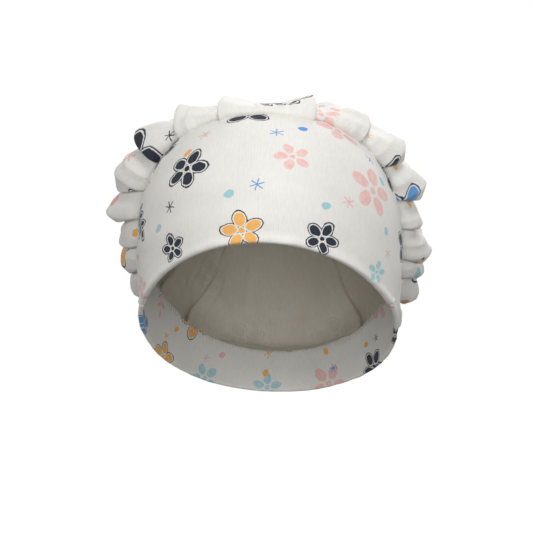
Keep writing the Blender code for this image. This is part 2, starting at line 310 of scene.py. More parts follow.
def follow(table, column, at):
    """Smooth values of a table's column, read at values of its first column."""
    known = np.array([row[0] for row in table])
    value = np.array([getattr(row, column) for row in table])
    return smooth_curve(known, value, at)


def rim_height(depth):
    """Height of the cap's lower edge at a depth."""
    share = (depth + HEAD_FRONT) / (HEAD_FRONT + HEAD_BACK)
    return RIM_HEIGHT - RIM_DROP * ((1 + RIM_BOW) * share - RIM_BOW * share ** 2)


def seam_height(depth):
    """Height of the bands' top edge at a depth."""
    share = (depth + HEAD_FRONT) / (HEAD_FRONT + HEAD_BACK)
    low = rim_height(depth) + BACK_BAND_HEIGHT
    return low + follow(BAND_RISE, "rise", share) * (HEAD_TOP - BAND_BELOW_TOP - low)


print("Seam over the forehead in mm:", round(1000 * float(seam_height(np.array([-HEAD_FRONT]))[0])))

# %% [markdown]
# ### Lines round the head
#
# A height that depends on the depth can't be put on a rounded form in one step. So for each direction
# round the head the place is found by halving: a range of angles is cut in half again and again, and the
# half that holds the line is kept. The cap's sides are mirror images here, so half a ring is enough.

# %% Rings
RING_SAMPLES = 721
LOWEST_ANGLE, HIGHEST_ANGLE = math.radians(-80), math.radians(85)
HALVINGS = 45


def half_ring(height_at):
    """Points on the head space from front to back round +X, at the height that their depth gives."""
    turn = np.linspace(0, math.pi, RING_SAMPLES)
    low = np.full(RING_SAMPLES, LOWEST_ANGLE)
    high = np.full(RING_SAMPLES, HIGHEST_ANGLE)
    for _ in range(HALVINGS):
        middle = (low + high) / 2
        point = onto_head(np.stack([
            np.sin(turn) * np.cos(middle),
            -np.cos(turn) * np.cos(middle),
            np.sin(middle),
        ], axis=-1))
        above = point[:, 2] > height_at(point[:, 1])
        high = np.where(above, middle, high)
        low = np.where(above, low, middle)
    return point


def lengths_along(points):
    """Length from the first point to each point of a line."""
    steps = np.linalg.norm(np.diff(points, axis=0), axis=-1)
    return np.concatenate((np.zeros_like(steps[:1]), np.cumsum(steps, axis=0)))


def along_ring(ring, place):
    """Points at signed shares of the half ring: 0 at the front, 1 and -1 at the back."""
    share = lengths_along(ring)
    share = share / share[-1]
    size = np.minimum(np.abs(place), 2 - np.abs(place))
    point = np.stack([np.interp(size, share, ring[:, axis]) for axis in range(3)], axis=-1)
    point[..., 0] *= np.sign(place) * np.where(np.abs(place) > 1, -1, 1)
    return point


RIM = half_ring(rim_height)
SEAM = half_ring(seam_height)
RIM_LENGTH = lengths_along(RIM)[-1]
SEAM_LENGTH = lengths_along(SEAM)[-1]
print("Half rim and half seam in mm:", round(1000 * RIM_LENGTH), round(1000 * SEAM_LENGTH))

# %% [markdown]
# ## Small unevenness
#
# No worn cloth is perfectly smooth. A sum of waves in many directions gives soft, natural swells of any
# size, and since the directions come from a fixed seed, they are the same on every run. Stretched along
# one direction, the same waves make creases.

# %% Swells
WAVES = 14

# A height in metres, and the length of a wave along each direction of the places
Swell = namedtuple("Swell", "height lengths")


def swells(swell, places, seed):
    """Soft random heights at places: the swell's height is about the most that they reach."""
    dice = np.random.default_rng(seed)
    places = places / swell.lengths
    height = np.zeros(places.shape[:-1])
    for _ in range(WAVES):
        direction = unit(dice.normal(size=places.shape[-1])) * dice.uniform(0.6, 1.4)
        height += np.cos(2 * math.pi * (places @ direction) + dice.uniform(0, 2 * math.pi))
    return swell.height * height * math.sqrt(1 / WAVES)


print("A few swells:", np.round(swells(Swell(1.0, 1.0), np.linspace(0, 3, 4)[:, None] * np.ones(2), 1), 2))

# %% Pieces of cloth


def make_piece(name, points, faces, flat_places):
    """A smooth piece of cloth with each corner's place on the flat cloth, in metres, as its UV map."""
    mesh = bpy.data.meshes.new(name)
    mesh.from_pydata(points.reshape(-1, 3).tolist(), [], faces)
    corner_points = np.empty(len(mesh.loops), dtype=np.int32)
    mesh.loops.foreach_get("vertex_index", corner_points)
    cloth = mesh.uv_layers.new(name="cloth")
    cloth.data.foreach_set("uv", flat_places.reshape(-1, 2)[corner_points].astype(np.float32).ravel())
    mesh.polygons.foreach_set("use_smooth", np.ones(len(mesh.polygons), dtype=bool))
    mesh.update()
    piece = new_object(name, mesh)
    print(name, "has", len(mesh.polygons), "faces")
    return piece


# %% [markdown]
# ## The bands
#
# Each band is a strip of jersey folded in half lengthwise, with the fold as its lower edge. So the edge
# is a soft roll, a little thicker than the wall above it, and the top edge turns in where it meets the
# bag. A bent plane could show it, but it has to fit the rim, the seam and two round corners at once, so
# rows of points are laid over the head space and raised by half the thickness on either side.

# %% Rows of a band
ROLL_HEIGHT = 0.006
EDGE_TURN = 0.0010
THINNEST_EDGE = 0.02

RollRow = namedtuple("RollRow", "height inner outer")
ROLL = (
    RollRow(0.00, 0.50, 0.50),
    RollRow(0.03, 0.30, 0.70),
    RollRow(0.09, 0.15, 0.85),
    RollRow(0.20, 0.04, 0.96),
    RollRow(0.34, 0.00, 1.00),
    RollRow(0.62, 0.00, 0.93),
    RollRow(0.82, 0.00, 0.80),
    RollRow(1.00, 0.00, 0.70),
)
WALL_SHARES = np.concatenate((np.linspace(0, 1, 34)[1:-1], (0.985, 0.994, 1.0)))


def band_rows(width, start_rise, wall, roll_wall):
    """Heights of a band's rows above the rim, and how far out its inner and outer faces lie there."""
    heights, inner, outer = [], [], []
    for row in ROLL:
        heights.append(row.height * ROLL_HEIGHT + 0 * width)
        inner.append(row.inner * roll_wall)
        above_roll = wall * row.outer / ROLL[-1].outer
        outer.append(row.outer * roll_wall * (1 - row.height) + above_roll * row.height)
    for share in WALL_SHARES:
        heights.append(ROLL_HEIGHT + share * (width - start_rise - ROLL_HEIGHT))
        inner.append(0.0)
        outer.append(wall)
    return start_rise + np.array(heights), np.array(inner)[:, None], np.array(outer)[:, None]


def turned_edge(distance):
    """Share of the full thickness at a distance from an edge that turns in."""
    near = np.clip(1 - distance / EDGE_TURN, 0, 1)
    return np.sqrt(np.maximum(1 - near ** 2, THINNEST_EDGE))


print("Rows in a band:", len(ROLL) + len(WALL_SHARES))

# %% Faces of a band


def band_faces(size, columns):
    """Faces between columns that run up the outer face and down the inner one, with closed ends."""
    faces = []
    for row in range(size):
        here, above = row * columns, (row + 1) % size * columns
        for column in range(columns - 1):
            faces.append((here + column, here + column + 1, above + column + 1, above + column))
    ends = [np.array((row, row + 1, size - 2 - row, size - 1 - row)) * columns
            for row in range(size // 2 - 1)]
    faces += [tuple(corners.tolist()) for corners in ends]
    faces += [tuple((corners[::-1] + columns - 1).tolist()) for corners in ends]
    return faces


print("Faces of a strip of 2 columns and 3 rows:", len(band_faces(6, 2)))

# %% [markdown]
# ### One band
#
# A band is laid out from its places along the rim and the seam. Both of its faces swell together: long
# soft waves lie over all of it, fine puckers next to the seam, where the thread draws the cloth in, and
# small waves along the roll. The UV map is the length along the rim and the height above it.

# %% Make a band
BAND_WAVES = Swell(0.00035, (0.045, 0.020))
SEAM_PUCKERS = Swell(0.00028, (0.0055, 0.030))
ROLL_WAVES = Swell(0.00018, (0.012, 0.012))
PUCKER_REACH = 0.007
CALM_EDGE = 0.01
BAND_CLEARANCE = 0.0002
INNER_LIFT_SHARE = 0.5


def make_band(name, rim_places, seam_places, start_rise, wall, roll_wall, seed, ends_turn):
    """A folded strip between the rim and the seam; each column starts start_rise above the rim."""
    rim = along_ring(RIM, rim_places)
    seam = along_ring(SEAM, seam_places)
    width = np.linalg.norm(seam - rim, axis=1)
    height, inner, outer = band_rows(width, start_rise, wall, roll_wall)
    share = (height / width)[..., None]
    face = onto_head(rim * (1 - share) + seam * share)
    normal = head_normal(face)

    along = lengths_along(rim)
    flat = np.stack([np.broadcast_to(along - along[-1] / 2, height.shape), height], axis=-1)
    from_top = width - height
    to_side = np.minimum(along, along[-1] - along) + 0 * height
    calm = np.clip(np.minimum(to_side, from_top) / CALM_EDGE, 0, 1)
    lift = swells(BAND_WAVES, flat, seed) * calm
    lift += swells(SEAM_PUCKERS, flat, seed + 1) * np.exp(-(from_top / PUCKER_REACH) ** 2)
    lift += swells(ROLL_WAVES, flat, seed + 2) * np.exp(-(height / ROLL_HEIGHT) ** 2)

    # The top edge and, on the front band, the two side edges turn in
    thin = turned_edge(from_top)
    if ends_turn:
        thin = np.minimum(thin, turned_edge(to_side))
    centre, half = (inner + outer) / 2, (outer - inner) / 2 * thin
    outside = face + (centre + half + lift + BAND_CLEARANCE)[..., None] * normal
    inside = face + (centre - half + lift * INNER_LIFT_SHARE)[..., None] * normal
    loop = np.concatenate((outside, inside[::-1]))
    faces = band_faces(len(loop), len(along))
    piece = make_piece(name, loop, faces, np.concatenate((flat, flat[::-1])))
    print(name, "height in mm:", round(1000 * width.max()), "length in mm:", round(1000 * along[-1]))
    return piece, width, along[-1]


# %% Both bands
FRONT_BAND_WALL, FRONT_ROLL_WALL = 0.0022, 0.0034
BACK_BAND_WALL, BACK_ROLL_WALL = 0.0017, 0.0026
CORNER_RADIUS = 0.007
BACK_BAND_STEP = 0.0025
SIDE_SEAM_RIM_DEPTH = -0.033
SIDE_SEAM_TOP_DEPTH = 0.014
FRONT_COLUMNS, BACK_COLUMNS = 241, 201
COLUMN_CROWDING = 0.9

side_rim = float(np.interp(SIDE_SEAM_RIM_DEPTH, RIM[:, 1], lengths_along(RIM))) / RIM_LENGTH
side_top = float(np.interp(SIDE_SEAM_TOP_DEPTH, SEAM[:, 1], lengths_along(SEAM))) / SEAM_LENGTH

# Columns crowd a little towards the middle; the two lower corners are quarter rounds
across = np.linspace(-1, 1, FRONT_COLUMNS)
across = np.sign(across) * np.abs(across) ** COLUMN_CROWDING
from_corner = (1 - np.abs(across)) * side_rim * RIM_LENGTH
into_corner = np.clip(1 - from_corner / CORNER_RADIUS, 0, 1)
corner_rise = CORNER_RADIUS * (1 - np.sqrt(1 - into_corner ** 2))
front_band, front_heights, front_length = make_band(
    "front_band_strip", across * side_rim, across * side_top, corner_rise,
    FRONT_BAND_WALL, FRONT_ROLL_WALL, 11, True)

round_back = np.linspace(0, 1, BACK_COLUMNS)
back_band, back_heights, back_length = make_band(
    "back_band_strip", side_rim + round_back * 2 * (1 - side_rim),
    side_top + round_back * 2 * (1 - side_top), np.full(BACK_COLUMNS, BACK_BAND_STEP),
    BACK_BAND_WALL, BACK_ROLL_WALL, 21, False)

# %% [markdown]
# ## The bag
#
# The bag is cut as one large round piece. To fit the much shorter seam, its edge is laid in pleats: each
# goes along on top, turns back underneath at a sharp fold, turns again and goes on below, so the next
# pleat lies under it like a shingle. Above the seam the folds stand up and puff out, and further on they
# open into the round of the bag. A simulation would need a very exact pattern to hold such folds, so the
# cloth's way is drawn instead: tables say where each pleat lies and how the bag rises above the head.

# %% Pleats
# Free edges of the pleats, from the front centre to the back: place (share of the half seam), tuck and
# lift (shares of PLEAT_TUCK and EDGE_LIFT), lean (how far the tip hangs on towards the back, in mm), mouth
# (how far the fold stands open there, in mm), tip (share of TIP_LIFT) and tip_row, where the tip stands
Pleat = namedtuple("Pleat", "place tuck lift lean mouth tip tip_row")
LEFT_PLEATS = (
    Pleat(0.089, 1.0, 1.35, 0.5, 1.0, 0.2, 6.0),
    Pleat(0.194, 1.0, 0.80, 2.0, 1.0, 0.4, 7.0),
    Pleat(0.279, 1.0, 0.80, 6.5, 2.0, 0.9, 7.25),
    Pleat(0.352, 1.1, 0.85, 9.0, 9.0, 0.8, 7.0),
    Pleat(0.420, 0.8, 0.80, 12.0, 4.0, 0.9, 6.75),
    Pleat(0.487, 0.6, 0.40, 9.0, 5.0, 0.3, 6.0),
    Pleat(0.546, 0.9, 0.65, 8.0, 7.0, 0.6, 7.4),
    Pleat(0.628, 1.0, 0.60, 5.0, 6.0, 0.4, 6.8),
    Pleat(0.715, 1.0, 1.00, 3.0, 6.0, 0.7, 7.3),
    Pleat(0.815, 1.0, 0.90, 2.0, 5.0, 0.8, 7.0),
)
RIGHT_PLEATS = (
    Pleat(0.101, 1.0, 0.95, 0.5, 1.0, 0.2, 6.0),
    Pleat(0.212, 1.0, 0.65, 4.0, 3.0, 0.5, 7.25),
    Pleat(0.294, 1.1, 0.75, 8.0, 6.0, 0.8, 7.3),
    Pleat(0.378, 1.1, 0.75, 8.5, 6.5, 0.9, 7.1),
    Pleat(0.447, 0.5, 0.45, 9.0, 4.0, 0.3, 6.2),
    Pleat(0.520, 1.0, 0.85, 10.0, 6.0, 0.9, 7.2),
    Pleat(0.574, 0.7, 0.60, 6.0, 6.0, 0.4, 6.4),
    Pleat(0.652, 0.9, 0.90, 5.0, 6.0, 0.8, 7.0),
    Pleat(0.750, 1.0, 0.95, 3.0, 6.0, 0.9, 7.3),
    Pleat(0.850, 1.0, 0.90, 2.0, 5.0, 0.7, 6.9),
)
print("Pleats:", len(LEFT_PLEATS) + len(RIGHT_PLEATS))

# %% [markdown]
# ### The form of the bag
#
# Two more tables give the form without its pleats. The first goes up from the seam to the middle of the
# bag, in rows, and the second goes round the seam. Over the forehead the cloth rolls forward over the
# seam, at the sides it stands up as a ruffle, and behind it sags as a bag over the narrow strip. Each
# value is a share of a height in metres, and shares of both tables are multiplied.

# %% Rows of the bag
RUFFLE_LIFT = 0.014
BAG_LIFT = 0.028
BAG_SAG = 0.013
ROLL_LIFT = 0.0036
ROLL_OVERHANG = 0.0034
EDGE_LIFT = 0.0058
TIP_LIFT = 0.0068

# From the seam up to the middle of the bag: way over the head, shares of the ruffle, bag and sag lifts,
# of the pleats' thickness, of the edge lift, of the lean, of the roll over the seam and of its overhang,
# and how far the pleats have opened out
CrownRow = namedtuple("CrownRow", "count way ruffle bag sag layer edge lean roll over open")
CROWN_ROWS = (
    CrownRow(0, 0.000, 0.02, 0.00, 0.00, 0.60, 0.00, 0.00, 0.00, 0.00, 0.00),
    CrownRow(1, 0.009, 0.10, 0.00, 0.00, 0.90, 0.06, 0.04, 0.40, 0.10, 0.00),
    CrownRow(2, 0.022, 0.22, 0.00, 0.00, 1.00, 0.18, 0.14, 0.78, 0.75, 0.00),
    CrownRow(3, 0.038, 0.35, 0.01, 0.00, 1.00, 0.34, 0.29, 0.95, 1.00, 0.00),
    CrownRow(4, 0.056, 0.49, 0.02, 0.04, 1.00, 0.52, 0.46, 1.00, 0.85, 0.00),
    CrownRow(5, 0.075, 0.63, 0.04, 0.18, 1.00, 0.70, 0.65, 0.88, 0.55, 0.00),
    CrownRow(6, 0.099, 0.78, 0.09, 0.48, 1.00, 0.87, 0.85, 0.62, 0.25, 0.01),
    CrownRow(7, 0.130, 0.88, 0.20, 0.88, 1.00, 0.97, 1.00, 0.32, 0.05, 0.05),
    CrownRow(8, 0.182, 0.78, 0.40, 1.00, 1.00, 0.84, 0.98, 0.10, 0.00, 0.14),
    CrownRow(9, 0.260, 0.67, 0.65, 0.74, 1.00, 0.64, 0.80, 0.00, 0.00, 0.34),
    CrownRow(10, 0.312, 0.57, 0.77, 0.56, 1.00, 0.52, 0.64, 0.00, 0.00, 0.54),
    CrownRow(11, 0.372, 0.46, 0.89, 0.39, 0.90, 0.40, 0.45, 0.00, 0.00, 0.70),
    CrownRow(12, 0.490, 0.30, 1.00, 0.17, 0.65, 0.24, 0.22, 0.00, 0.00, 0.88),
    CrownRow(13, 0.630, 0.13, 0.95, 0.04, 0.36, 0.10, 0.06, 0.00, 0.00, 0.97),
    CrownRow(14, 0.780, 0.03, 0.82, 0.00, 0.14, 0.03, 0.00, 0.00, 0.00, 1.00),
    CrownRow(15, 0.910, 0.00, 0.66, 0.00, 0.00, 0.00, 0.00, 0.00, 0.00, 1.00),
    CrownRow(16, 1.000, 0.00, 0.58, 0.00, 0.00, 0.00, 0.00, 0.00, 0.00, 1.00),
)
LAST_ROW = CROWN_ROWS[-1].count
print("Rows from the seam to the middle:", LAST_ROW)

# %% Round the bag
# Round the seam from the back over the left side to the front and on to the back: shares of the lifts
CrownPlace = namedtuple("CrownPlace", "place ruffle bag sag roll")
CROWN_AROUND = (
    CrownPlace(-1.00, 0.85, 1.00, 1.00, 0.30),
    CrownPlace(-0.82, 0.85, 0.90, 0.90, 0.40),
    CrownPlace(-0.68, 0.85, 0.45, 0.45, 0.50),
    CrownPlace(-0.57, 1.10, 0.20, 0.15, 0.60),
    CrownPlace(-0.47, 1.10, 0.12, 0.05, 0.60),
    CrownPlace(-0.37, 0.98, 0.12, 0.00, 0.70),
    CrownPlace(-0.27, 0.72, 0.10, 0.00, 0.80),
    CrownPlace(-0.18, 0.26, 0.04, 0.00, 0.90),
    CrownPlace(-0.09, 0.10, 0.00, 0.00, 1.00),
    CrownPlace(0.00, 0.04, 0.00, 0.00, 1.00),
    CrownPlace(0.09, 0.08, 0.00, 0.00, 1.00),
    CrownPlace(0.18, 0.45, 0.06, 0.00, 1.00),
    CrownPlace(0.28, 0.56, 0.10, 0.00, 0.90),
    CrownPlace(0.38, 0.60, 0.12, 0.05, 0.80),
    CrownPlace(0.48, 0.72, 0.15, 0.15, 0.70),
    CrownPlace(0.58, 0.98, 0.22, 0.20, 0.60),
    CrownPlace(0.68, 0.90, 0.42, 0.40, 0.50),
    CrownPlace(0.82, 0.80, 0.85, 0.85, 0.40),
    CrownPlace(1.00, 0.85, 1.00, 1.00, 0.30),
)
print("Places round the seam:", len(CROWN_AROUND))

# %% [markdown]
# ### The cloth's way through the pleats
#
# Seen end on, the edge of the bag is one long line that goes forward, back under itself and forward
# again at each pleat. It is drawn with square corners first, six to a pleat. A pleat's free edge may lean
# towards the back of the cap, and where its mouth stands open, the hidden layer leans on further than the
# upper one. The front pleat has two low horns with a flat dip between them.

# %% Corners of a fold
PLEAT_TUCK = 0.008
FRONT_SHOULDER = 7 / 12
FRONT_DIP_START = 0.014
CALM_ROW = 7.0

# Out is 0 at the fold's inner end and 1 at the free edge, beyond is a step past it in metres, level counts
# layers, under is 1 where the cloth is hidden, and the rest are shares of the pleat's own values; a
# shoulder is lower on the front pleat
FoldCorner = namedtuple("FoldCorner", "out beyond level under rise lean mouth tip shoulder")
FOLD_CORNERS = (
    FoldCorner(0, 0.000, 1.95, 0, 0.720, 0.95, 0, 0.55, True),
    FoldCorner(1, 0.000, 2.05, 0, 1.000, 1.00, 0, 1.00, False),
    FoldCorner(1, 0.000, 1.15, 1, 0.720, 1.00, 1, 0.45, False),
    FoldCorner(0, 0.000, 0.95, 1, 0.612, 0.95, 0, 0.20, True),
    FoldCorner(0, 0.000, 0.05, 1, 0.250, 0.80, 0, 0.00, False),
    FoldCorner(1, 0.001, 0.00, 0, 0.000, 0.80, 0, 0.00, False),
)
WayPoint = namedtuple("WayPoint", "length level under rise lean tip tip_row")


def square_way(pleats):
    """Corners of the cloth's way round one side, from the front centre to the back."""
    horn = pleats[0].place * SEAM_LENGTH - FRONT_DIP_START
    way = [
        WayPoint(0.0, 0.80, 0, 0.02, 0.0, 0.0, CALM_ROW),
        WayPoint(horn, 0.90, 0, 0.06, 0.0, 0.0, CALM_ROW),
    ]
    for pleat, after in zip(pleats, pleats[1:] + (None,)):
        edge = pleat.place * SEAM_LENGTH
        inner = edge - pleat.tuck * PLEAT_TUCK
        for corner in FOLD_CORNERS:
            rise = corner.rise * (FRONT_SHOULDER if corner.shoulder and pleat is pleats[0] else 1.0)
            way.append(WayPoint(
                (edge if corner.out else inner) + corner.beyond, corner.level, corner.under,
                rise * pleat.lift, corner.lean * pleat.lean + corner.mouth * pleat.mouth,
                corner.tip * pleat.tip, pleat.tip_row))
        if after:
            end = after.place * SEAM_LENGTH - after.tuck * PLEAT_TUCK
            way.append(WayPoint((edge + end) / 2, 0.85, 0, 0.30 * after.lift,
                                (pleat.lean + after.lean) / 2, 0.25 * after.tip, after.tip_row))
    way.append(WayPoint((edge + SEAM_LENGTH) / 2, 0.3, 0, 0.2, 0.0, 0.0, CALM_ROW))
    way.append(WayPoint(SEAM_LENGTH, 0.4, 0, 0.2, 0.0, 0.0, CALM_ROW))
    return np.array(way)


print("Corners of the left way:", len(square_way(LEFT_PLEATS)))

# %% [markdown]
# ### Rounding and dividing the way
#
# Each corner is rounded, and points are added wherever two lie far apart, so that the sharp folds get
# many points and the plain panels few. A pleat hides more cloth than its short fold shows. So when the
# pleats open out higher up, the folded layers count for more, just enough to use up the round piece.

# %% Rounding the way
LAYER = 0.0014
TURN_POINTS = 4
PANEL_STEP = 0.0030
FOLD_BULB = 0.0006
MOUTH_SHARE = 0.0004
SAME_POINT = 1e-6


def way_steps(way):
    """Lengths of cloth between the points of a way, part of it the width of an open mouth."""
    return np.linalg.norm(np.diff(way[:, (0, 1, 4)] * (1.0, LAYER, MOUTH_SHARE), axis=0), axis=1)


def rounded_way(way):
    """The way with its corners rounded and its long stretches divided."""
    steps = way_steps(way)
    t = np.linspace(0, 1, TURN_POINTS)[:, None]
    rounded = [way[:1]]
    for before, corner, after, step, next_step in zip(way, way[1:], way[2:], steps, steps[1:]):
        start = corner + (before - corner) * min(0.5, FOLD_BULB / step)
        end = corner + (after - corner) * min(0.5, FOLD_BULB / next_step)
        rounded.append(start * (1 - t) ** 2 + corner * 2 * t * (1 - t) + end * t ** 2)
    points = np.concatenate(rounded + [way[-1:]])
    points = points[np.concatenate(([True], way_steps(points) > SAME_POINT))]
    filled = []
    for start, end, gap in zip(points[:-1], points[1:], way_steps(points)):
        parts = math.ceil(gap / PANEL_STEP)
        filled.append(start + (end - start) * np.arange(parts)[:, None] / parts)
    return np.concatenate(filled + [points[-1:]])


left_way = rounded_way(square_way(LEFT_PLEATS))
right_way = rounded_way(square_way(RIGHT_PLEATS))
print("Points of the two ways:", len(left_way), len(right_way))

# %% Opening out
FLAT_RADIUS = 0.155


def opened_shares(way):
    """Where the points lie once the pleats are open, from 0 at the front to 1 at the back."""
    steps = way_steps(way)
    under = (way[:-1, 2] + way[1:, 2]) / 2
    depth = (math.pi * FLAT_RADIUS - (steps * (1 - under)).sum()) / (steps * under).sum()
    cloth = np.concatenate(([0.0], np.cumsum(steps * (1 - under + depth * under))))
    print("Cloth in mm:", round(1000 * cloth[-1]), "folds", round(depth, 2), "times as deep as they show")
    return cloth / cloth[-1]


# Both sides in one line of columns, from the back over the left side to the front and on to the back
both_ways = np.concatenate((left_way[:0:-1] * (-1, 1, 1, 1, -1, 1, 1), right_way[:-1]))
folded = both_ways[:, 0] / SEAM_LENGTH
opened = np.concatenate((-opened_shares(left_way)[:0:-1], opened_shares(right_way)[:-1]))
level, rise, lean, tip, tip_row = both_ways[:, 1], *both_ways[:, 3:].T
print("Columns:", len(folded))

# %% [markdown]
# ### From the tables to a surface
#
# Each point of the bag is found in three steps. It starts on the head, part of the way from the seam to
# the middle of the bag, then the ruffle, the bag and the roll lift it, and at last the layer of the pleat
# that it lies in raises it once more. This cell holds the first two steps.

# %% Surface of the bag
APEX_DIRECTION = (0.0, 0.62, 0.785)
SLOPE_STEP, SLOPE_ROWS = 0.003, 0.5


def bag_base(place, row):
    """Points of the bag without its pleats, at signed places round the seam and counts of rows."""
    seam = along_ring(SEAM, place)
    apex = onto_head(np.array(APEX_DIRECTION))
    turned = (place + 1) % 2 - 1
    way = follow(CROWN_ROWS, "way", row)
    sag = BAG_SAG * follow(CROWN_ROWS, "sag", row) * follow(CROWN_AROUND, "sag", turned)
    forward = follow(CROWN_AROUND, "roll", turned)
    over = ROLL_OVERHANG * follow(CROWN_ROWS, "over", row) * forward
    share = (way - (sag + over) / np.linalg.norm(apex - seam, axis=-1))[..., None]
    face = onto_head(seam * (1 - share) + apex * share)
    around = follow(CROWN_AROUND, "bag", turned)
    bag = BAG_LIFT * follow(CROWN_ROWS, "bag", row) * (around * (1 - way ** 3) + way ** 3)
    ruffle = RUFFLE_LIFT * follow(CROWN_ROWS, "ruffle", row) * follow(CROWN_AROUND, "ruffle", turned)
    roll = ROLL_LIFT * follow(CROWN_ROWS, "roll", row) * forward
    return face + (ruffle + bag + roll)[..., None] * head_normal(face)


def bag_normal(place, row):
    """Outward unit normals of the bag without its pleats."""
    across = bag_base(place + SLOPE_STEP, row) - bag_base(place - SLOPE_STEP, row)
    above, below = np.minimum(row + SLOPE_ROWS, LAST_ROW), np.maximum(row - SLOPE_ROWS, 0)
    return unit(np.cross(across, bag_base(place, above) - bag_base(place, below)))


apex_point = bag_base(np.zeros(1), np.array([float(LAST_ROW)]))
print("Middle of the bag in mm:", np.round(1000 * apex_point[0]).tolist())

# %% [markdown]
# ### Folds, swells and creases
#
# The rows of points are now worked out from the seam upward. On top of the drawn form, the whole bag
# swells softly, as cloth does that was folded and worn, and short creases run from the seam into the
# panels. They fade where the layers are pressed together, so that no layer passes through another, and
# again towards the middle of the bag, where the columns meet.

# %% Raise the pleats
ROWS_BETWEEN = 4
APEX_GAP = 0.12
SEAM_OVERLAP = 0.0002
TIP_WIDTH_IN_ROWS = 1.1
METRES_PER_MM = 0.001

fine_rows = np.linspace(0, LAST_ROW - APEX_GAP, LAST_ROW * ROWS_BETWEEN)[:, None] + 0 * folded
open_share = follow(CROWN_ROWS, "open", fine_rows)
leaning = METRES_PER_MM * lean / SEAM_LENGTH * follow(CROWN_ROWS, "lean", fine_rows)
place = folded * (1 - open_share) + opened * open_share + leaning
pressed = LAYER * level * follow(CROWN_ROWS, "layer", fine_rows)
raised = EDGE_LIFT * rise * follow(CROWN_ROWS, "edge", fine_rows)
raised = raised + TIP_LIFT * tip * np.exp(-np.abs(fine_rows - tip_row) / TIP_WIDTH_IN_ROWS)
base = bag_base(place, fine_rows)
from_seam = lengths_along(base)
print("Tallest tip in mm:", round(1000 * (pressed + raised).max(), 1))

# %% Swell and crease
BAG_SWELLS = Swell(0.0013, 0.038)
FINE_SWELLS = Swell(0.0005, 0.013)
CREASES = Swell(0.00030, (0.007, 0.035))
FREE_FROM_ROW = 6
CREASED_FROM_ROW = 3
FADING_ROWS = 5

cloth_place = np.stack([opened * math.pi * FLAT_RADIUS + 0 * place, from_seam], axis=-1)
free = np.clip(fine_rows / FREE_FROM_ROW, 0, 1) ** 2
fading = np.clip((LAST_ROW - fine_rows) / FADING_ROWS, 0, 1) ** 1.5
soft = (swells(BAG_SWELLS, base, 31) + swells(FINE_SWELLS, base, 32)) * free
crease = swells(CREASES, cloth_place, 33) * np.clip(fine_rows / CREASED_FROM_ROW, 0.3, 1) * fading ** 2
total = SEAM_OVERLAP + pressed + raised + (soft + crease) * fading
sheet = base + total[..., None] * bag_normal(place, fine_rows)
print("Deepest crease in mm:", round(-1000 * float(crease.min()), 2))

# %% [markdown]
# ### The flat piece and the mesh
#
# The round flat piece is the bag's UV map: the way up from the seam gives the distance from its middle,
# and the opened share gives the angle. So the print and the knit run through every fold unbroken, as on
# real cloth. The sheet is one layer of points, and a Solidify modifier gives it its thickness, with
# the reverse of the jersey as a second material.

# %% Mesh of the bag
CROWN_CLOTH = 0.0009

to_apex = from_seam[-1] + np.linalg.norm(apex_point - base[-1], axis=-1)
radius = FLAT_RADIUS - from_seam * (1 + (FLAT_RADIUS / to_apex - 1) * from_seam / to_apex)
angle = math.pi * opened + 0 * radius
flat = np.stack([radius * np.sin(angle), -radius * np.cos(angle)], axis=-1)

rows, count = fine_rows.shape
faces = []
for row in range(rows):
    for column in range(count):
        after = (column + 1) % count
        low, high = row * count, (row + 1) * count
        if row == rows - 1:
            faces.append((low + column, low + after, high))
        else:
            faces.append((low + column, low + after, high + after, high + column))
points = np.concatenate((sheet.reshape(-1, 3), apex_point))
crown = make_piece("crown_bag", points, faces, np.concatenate((flat.reshape(-1, 2), [(0.0, 0.0)])))
wall = crown.modifiers.new("cloth thickness", "SOLIDIFY")
wall.thickness = CROWN_CLOTH
wall.offset = 0.0
wall.material_offset = 1
print("Seam to middle in mm:", np.round(1000 * np.quantile(to_apex, (0, 0.5, 1))).tolist())

# %% [markdown]
# ## Jersey
#
# Jersey is a fine knit. Its face shows columns of small V-shaped loops, called wales, and its reverse
# shows rows of little arcs. A real knit could be modelled loop by loop, but at this distance it only shows
# as a fine rib. So it is a height pattern for a Bump node, in a node group that every jersey shares. It is
# worked out in millimetres on the flat cloth, and so it follows every fold.

# %% Knit
# Real wales lie about 0.8 mm apart, too fine to show from here, so the knit is drawn half as coarse again
WALE_SPACING = 1.25
COURSE_SPACING = 1.0
LOOP_SLANT = 0.9
RIB_SHARE = 0.7
LOOP_SHARE = 0.6


def new_group(name, inputs, outputs):
    """A node group with its sockets, and its input node."""
    group = bpy.data.node_groups.new(name, "ShaderNodeTree")
    for way, sockets in (("INPUT", inputs), ("OUTPUT", outputs)):
        for socket, kind in sockets.items():
            group.interface.new_socket(socket, in_out=way, socket_type="NodeSocket" + kind)
    return group, group.nodes.new("NodeGroupInput")


knit, given = new_group("jersey_knit", {"Place": "Vector"}, {"Height": "Float"})
counted = add_node(knit, VECTOR_MATH,
                   [given.outputs["Place"], (WALE_SPACING, COURSE_SPACING, 1.0)], operation="DIVIDE")
parts = add_node(knit, "ShaderNodeSeparateXYZ", [counted])
across = add_node(knit, MATH, [parts.outputs["X"], 0.5], operation="PINGPONG")
angle = add_node(knit, MATH, [across, math.pi], operation="MULTIPLY")
rib = add_node(knit, MATH, [angle], operation="SINE")
rib = add_node(knit, MATH, [rib, RIB_SHARE], operation="MULTIPLY")
slanted = add_node(knit, MATH, [across, LOOP_SLANT, parts.outputs["Y"]], operation="MULTIPLY_ADD")
loops = add_node(knit, MATH, [slanted, 0.5], operation="PINGPONG")
height = add_node(knit, MATH, [loops, LOOP_SHARE, rib], operation="MULTIPLY_ADD")
add_node(knit, "NodeGroupOutput", {"Height": height})
print("Wales per 10 mm:", 10 / WALE_SPACING, "courses per 10 mm:", 10 / COURSE_SPACING)

